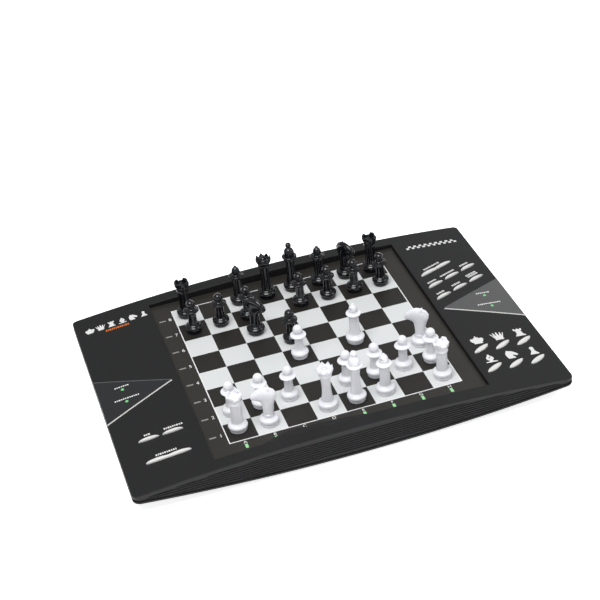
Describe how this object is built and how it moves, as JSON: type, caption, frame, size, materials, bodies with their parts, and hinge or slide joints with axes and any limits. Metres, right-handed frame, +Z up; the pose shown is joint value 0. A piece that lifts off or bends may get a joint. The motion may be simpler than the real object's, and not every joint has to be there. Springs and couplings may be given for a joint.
{
  "type": "electronic chess computer",
  "caption": "Thin arched console with a sunk pressure-sensing chessboard, file and rank lights, curved keys on its wings, smoked windows and its chess men set up in mid-opening.",
  "frame": {"origin": "on the surface the console stands on, under the middle of its outline", "axes": "+X towards the h file and the right wing, +Y towards the eighth rank at the back, +Z up"},
  "size_m": [0.373, 0.256, 0.0713],
  "materials": {
    "black_casing": "fine satin texture, moulded",
    "printed_film": "screen-printed matt film, dark and pale squares",
    "smoked_window": "dark smoked acrylic, polished",
    "circuit_board": "green solder mask",
    "key_rubber": "matt silicone",
    "speaker_metal": "pressed steel",
    "silver_key": "satin silver-white plastic",
    "white_man": "glossy white moulded plastic",
    "black_man": "glossy black moulded plastic"
  },
  "bodies": {
    "console": {"top_housing": "black_casing", "bottom_housing": "black_casing", "playing_sheet": "printed_film", "left_lens": "smoked_window", "right_lens": "smoked_window", "main_circuit_board": "circuit_board", "left_circuit_board": "circuit_board", "light_board": "circuit_board", "speaker": "speaker_metal", "left_key_mat": "key_rubber", "right_key_mat": "key_rubber"},
    "battery_door": {"battery_door": "black_casing"},
    "on_key": {"on_key": "silver_key"},
    "save_key": {"save_key": "silver_key"},
    "training_key": {"training_key": "silver_key"},
    "new_game_key": {"new_game_key": "silver_key"},
    "move_key": {"move_key": "silver_key"},
    "level_key": {"level_key": "silver_key"},
    "take_back_key": {"take_back_key": "silver_key"},
    "sound_key": {"sound_key": "silver_key"},
    "hint_key": {"hint_key": "silver_key"},
    "set_up_key": {"set_up_key": "silver_key"},
    "king_key": {"king_key": "silver_key"},
    "queen_key": {"queen_key": "silver_key"},
    "rook_key": {"rook_key": "silver_key"},
    "bishop_key": {"bishop_key": "silver_key"},
    "knight_key": {"knight_key": "silver_key"},
    "pawn_key": {"pawn_key": "silver_key"},
    "white_rook_a": {"white_rook_a": "white_man"},
    "white_knight_b": {"white_knight_b": "white_man"},
    "white_queen": {"white_queen": "white_man"},
    "white_king": {"white_king": "white_man"},
    "white_bishop_f": {"white_bishop_f": "white_man"},
    "white_rook_h": {"white_rook_h": "white_man"},
    "white_bishop_c": {"white_bishop_c": "white_man"},
    "white_knight_g": {"white_knight_g": "white_man"},
    "white_pawn_a": {"white_pawn_a": "white_man"},
    "white_pawn_b": {"white_pawn_b": "white_man"},
    "white_pawn_c": {"white_pawn_c": "white_man"},
    "white_pawn_d": {"white_pawn_d": "white_man"},
    "white_pawn_e": {"white_pawn_e": "white_man"},
    "white_pawn_f": {"white_pawn_f": "white_man"},
    "white_pawn_g": {"white_pawn_g": "white_man"},
    "white_pawn_h": {"white_pawn_h": "white_man"},
    "black_rook_a": {"black_rook_a": "black_man"},
    "black_knight_b": {"black_knight_b": "black_man"},
    "black_bishop_c": {"black_bishop_c": "black_man"},
    "black_queen": {"black_queen": "black_man"},
    "black_king": {"black_king": "black_man"},
    "black_bishop_f": {"black_bishop_f": "black_man"},
    "black_knight_g": {"black_knight_g": "black_man"},
    "black_rook_h": {"black_rook_h": "black_man"},
    "black_pawn_a": {"black_pawn_a": "black_man"},
    "black_pawn_b": {"black_pawn_b": "black_man"},
    "black_pawn_c": {"black_pawn_c": "black_man"},
    "black_pawn_d": {"black_pawn_d": "black_man"},
    "black_pawn_e": {"black_pawn_e": "black_man"},
    "black_pawn_f": {"black_pawn_f": "black_man"},
    "black_pawn_g": {"black_pawn_g": "black_man"},
    "black_pawn_h": {"black_pawn_h": "black_man"}
  },
  "joints": [
    {"name": "battery_door_slide", "type": "slide", "parent": "console", "child": "battery_door", "axis": [0, 1, 0], "range_m": [0, 0.07]},
    {"name": "on_key_press", "type": "slide", "parent": "console", "child": "on_key", "axis": [0.0894, 0, -0.996], "range_m": [0, 0.001], "stiffness_N_per_m": 300, "springref_m": -0.0005},
    {"name": "save_key_press", "type": "slide", "parent": "console", "child": "save_key", "axis": [0.0894, 0, -0.996], "range_m": [0, 0.001], "stiffness_N_per_m": 300, "springref_m": -0.0005},
    {"name": "training_key_press", "type": "slide", "parent": "console", "child": "training_key", "axis": [0.0894, 0, -0.996], "range_m": [0, 0.001], "stiffness_N_per_m": 300, "springref_m": -0.0005},
    {"name": "new_game_key_press", "type": "slide", "parent": "console", "child": "new_game_key", "axis": [-0.0894, 0, -0.996], "range_m": [0, 0.001], "stiffness_N_per_m": 300, "springref_m": -0.0005},
    {"name": "move_key_press", "type": "slide", "parent": "console", "child": "move_key", "axis": [-0.0894, 0, -0.996], "range_m": [0, 0.001], "stiffness_N_per_m": 300, "springref_m": -0.0005},
    {"name": "level_key_press", "type": "slide", "parent": "console", "child": "level_key", "axis": [-0.0894, 0, -0.996], "range_m": [0, 0.001], "stiffness_N_per_m": 300, "springref_m": -0.0005},
    {"name": "take_back_key_press", "type": "slide", "parent": "console", "child": "take_back_key", "axis": [-0.0894, 0, -0.996], "range_m": [0, 0.001], "stiffness_N_per_m": 300, "springref_m": -0.0005},
    {"name": "sound_key_press", "type": "slide", "parent": "console", "child": "sound_key", "axis": [-0.0894, 0, -0.996], "range_m": [0, 0.001], "stiffness_N_per_m": 300, "springref_m": -0.0005},
    {"name": "hint_key_press", "type": "slide", "parent": "console", "child": "hint_key", "axis": [-0.0894, 0, -0.996], "range_m": [0, 0.001], "stiffness_N_per_m": 300, "springref_m": -0.0005},
    {"name": "set_up_key_press", "type": "slide", "parent": "console", "child": "set_up_key", "axis": [-0.0894, 0, -0.996], "range_m": [0, 0.001], "stiffness_N_per_m": 300, "springref_m": -0.0005},
    {"name": "king_key_press", "type": "slide", "parent": "console", "child": "king_key", "axis": [-0.0894, 0, -0.996], "range_m": [0, 0.001], "stiffness_N_per_m": 300, "springref_m": -0.0005},
    {"name": "queen_key_press", "type": "slide", "parent": "console", "child": "queen_key", "axis": [-0.0894, 0, -0.996], "range_m": [0, 0.001], "stiffness_N_per_m": 300, "springref_m": -0.0005},
    {"name": "rook_key_press", "type": "slide", "parent": "console", "child": "rook_key", "axis": [-0.0894, 0, -0.996], "range_m": [0, 0.001], "stiffness_N_per_m": 300, "springref_m": -0.0005},
    {"name": "bishop_key_press", "type": "slide", "parent": "console", "child": "bishop_key", "axis": [-0.0894, 0, -0.996], "range_m": [0, 0.001], "stiffness_N_per_m": 300, "springref_m": -0.0005},
    {"name": "knight_key_press", "type": "slide", "parent": "console", "child": "knight_key", "axis": [-0.0894, 0, -0.996], "range_m": [0, 0.001], "stiffness_N_per_m": 300, "springref_m": -0.0005},
    {"name": "pawn_key_press", "type": "slide", "parent": "console", "child": "pawn_key", "axis": [-0.0894, 0, -0.996], "range_m": [0, 0.001], "stiffness_N_per_m": 300, "springref_m": -0.0005},
    {"name": "white_rook_a_lift", "type": "slide", "parent": "console", "child": "white_rook_a", "axis": [0, 0, 1], "range_m": [0, 0.06]},
    {"name": "white_knight_b_lift", "type": "slide", "parent": "console", "child": "white_knight_b", "axis": [0, 0, 1], "range_m": [0, 0.06]},
    {"name": "white_queen_lift", "type": "slide", "parent": "console", "child": "white_queen", "axis": [0, 0, 1], "range_m": [0, 0.06]},
    {"name": "white_king_lift", "type": "slide", "parent": "console", "child": "white_king", "axis": [0, 0, 1], "range_m": [0, 0.06]},
    {"name": "white_bishop_f_lift", "type": "slide", "parent": "console", "child": "white_bishop_f", "axis": [0, 0, 1], "range_m": [0, 0.06]},
    {"name": "white_rook_h_lift", "type": "slide", "parent": "console", "child": "white_rook_h", "axis": [0, 0, 1], "range_m": [0, 0.06]},
    {"name": "white_bishop_c_lift", "type": "slide", "parent": "console", "child": "white_bishop_c", "axis": [0, 0, 1], "range_m": [0, 0.06]},
    {"name": "white_knight_g_lift", "type": "slide", "parent": "console", "child": "white_knight_g", "axis": [0, 0, 1], "range_m": [0, 0.06]},
    {"name": "white_pawn_a_lift", "type": "slide", "parent": "console", "child": "white_pawn_a", "axis": [0, 0, 1], "range_m": [0, 0.06]},
    {"name": "white_pawn_b_lift", "type": "slide", "parent": "console", "child": "white_pawn_b", "axis": [0, 0, 1], "range_m": [0, 0.06]},
    {"name": "white_pawn_c_lift", "type": "slide", "parent": "console", "child": "white_pawn_c", "axis": [0, 0, 1], "range_m": [0, 0.06]},
    {"name": "white_pawn_d_lift", "type": "slide", "parent": "console", "child": "white_pawn_d", "axis": [0, 0, 1], "range_m": [0, 0.06]},
    {"name": "white_pawn_e_lift", "type": "slide", "parent": "console", "child": "white_pawn_e", "axis": [0, 0, 1], "range_m": [0, 0.06]},
    {"name": "white_pawn_f_lift", "type": "slide", "parent": "console", "child": "white_pawn_f", "axis": [0, 0, 1], "range_m": [0, 0.06]},
    {"name": "white_pawn_g_lift", "type": "slide", "parent": "console", "child": "white_pawn_g", "axis": [0, 0, 1], "range_m": [0, 0.06]},
    {"name": "white_pawn_h_lift", "type": "slide", "parent": "console", "child": "white_pawn_h", "axis": [0, 0, 1], "range_m": [0, 0.06]},
    {"name": "black_rook_a_lift", "type": "slide", "parent": "console", "child": "black_rook_a", "axis": [0, 0, 1], "range_m": [0, 0.06]},
    {"name": "black_knight_b_lift", "type": "slide", "parent": "console", "child": "black_knight_b", "axis": [0, 0, 1], "range_m": [0, 0.06]},
    {"name": "black_bishop_c_lift", "type": "slide", "parent": "console", "child": "black_bishop_c", "axis": [0, 0, 1], "range_m": [0, 0.06]},
    {"name": "black_queen_lift", "type": "slide", "parent": "console", "child": "black_queen", "axis": [0, 0, 1], "range_m": [0, 0.06]},
    {"name": "black_king_lift", "type": "slide", "parent": "console", "child": "black_king", "axis": [0, 0, 1], "range_m": [0, 0.06]},
    {"name": "black_bishop_f_lift", "type": "slide", "parent": "console", "child": "black_bishop_f", "axis": [0, 0, 1], "range_m": [0, 0.06]},
    {"name": "black_knight_g_lift", "type": "slide", "parent": "console", "child": "black_knight_g", "axis": [0, 0, 1], "range_m": [0, 0.06]},
    {"name": "black_rook_h_lift", "type": "slide", "parent": "console", "child": "black_rook_h", "axis": [0, 0, 1], "range_m": [0, 0.06]},
    {"name": "black_pawn_a_lift", "type": "slide", "parent": "console", "child": "black_pawn_a", "axis": [0, 0, 1], "range_m": [0, 0.06]},
    {"name": "black_pawn_b_lift", "type": "slide", "parent": "console", "child": "black_pawn_b", "axis": [0, 0, 1], "range_m": [0, 0.06]},
    {"name": "black_pawn_c_lift", "type": "slide", "parent": "console", "child": "black_pawn_c", "axis": [0, 0, 1], "range_m": [0, 0.06]},
    {"name": "black_pawn_d_lift", "type": "slide", "parent": "console", "child": "black_pawn_d", "axis": [0, 0, 1], "range_m": [0, 0.06]},
    {"name": "black_pawn_e_lift", "type": "slide", "parent": "console", "child": "black_pawn_e", "axis": [0, 0, 1], "range_m": [0, 0.06]},
    {"name": "black_pawn_f_lift", "type": "slide", "parent": "console", "child": "black_pawn_f", "axis": [0, 0, 1], "range_m": [0, 0.06]},
    {"name": "black_pawn_g_lift", "type": "slide", "parent": "console", "child": "black_pawn_g", "axis": [0, 0, 1], "range_m": [0, 0.06]},
    {"name": "black_pawn_h_lift", "type": "slide", "parent": "console", "child": "black_pawn_h", "axis": [0, 0, 1], "range_m": [0, 0.06]}
  ]
}
